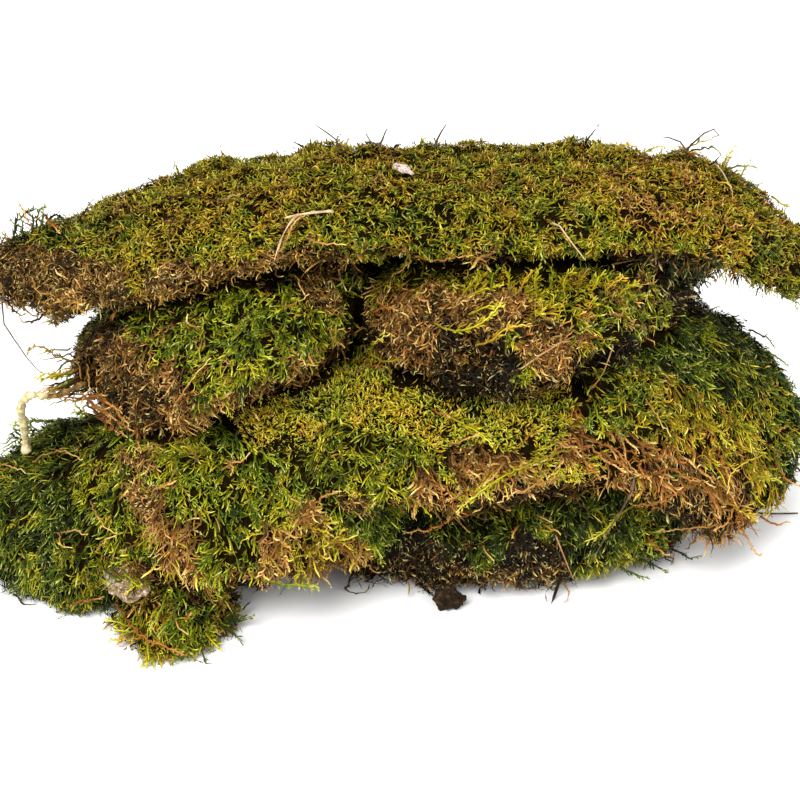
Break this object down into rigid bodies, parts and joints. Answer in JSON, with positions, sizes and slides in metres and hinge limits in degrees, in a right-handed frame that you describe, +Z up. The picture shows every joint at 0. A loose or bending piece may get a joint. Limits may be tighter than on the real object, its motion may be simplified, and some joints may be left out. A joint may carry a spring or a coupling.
{
  "type": "moss clump",
  "caption": "Heap of feather moss in torn, sagging mats laid over each other, a long arched one on top, with needles, twigs, a bark flake and a bit of soil.",
  "frame": {"origin": "on the surface that the clump rests on, under the middle of its box", "axes": "+X along the clump's length to the viewer's right, +Y away from the viewer, +Z up"},
  "size_m": [0.5488, 0.2908, 0.2664],
  "materials": {
    "yellow_moss": "matte, yellow-olive feathery shoots over a dark bed",
    "bright_moss": "matte, bright green and straw-brown shoots",
    "dark_moss": "matte, dark green combed strands with brown roots",
    "brown_moss": "matte, dead brown stems and fine yellow tips",
    "dead_needle": "smooth dry pine needle, slight sheen",
    "twig": "rough dark bark",
    "pale_stem": "dry pale stem with fine length-wise lines",
    "bark": "rough flaky bark with a green film",
    "soil": "crumbly dark soil"
  },
  "bodies": {
    "root": {"lower_left_mat": "dark_moss", "base_mat": "dark_moss", "front_tuft": "bright_moss", "front_left_mat": "bright_moss", "centre_mat": "brown_moss", "right_mat": "dark_moss", "second_mat": "bright_moss", "middle_mat": "brown_moss", "top_mat": "yellow_moss", "pine_needle_on_top": "dead_needle", "pale_needle_on_top": "dead_needle", "middle_needle": "dead_needle", "right_needle": "dead_needle", "orange_needle": "dead_needle", "grey_twig": "twig", "pale_branched_stem": "pale_stem", "left_top_twig": "twig", "forked_top_twig": "twig", "dark_top_twig": "twig", "tendril": "twig", "hanging_stalk": "twig", "pale_hooked_stem": "pale_stem", "floor_twig": "twig", "bark_flake": "bark", "pale_flake": "bark", "soil_clod": "soil"}
  },
  "joints": []
}
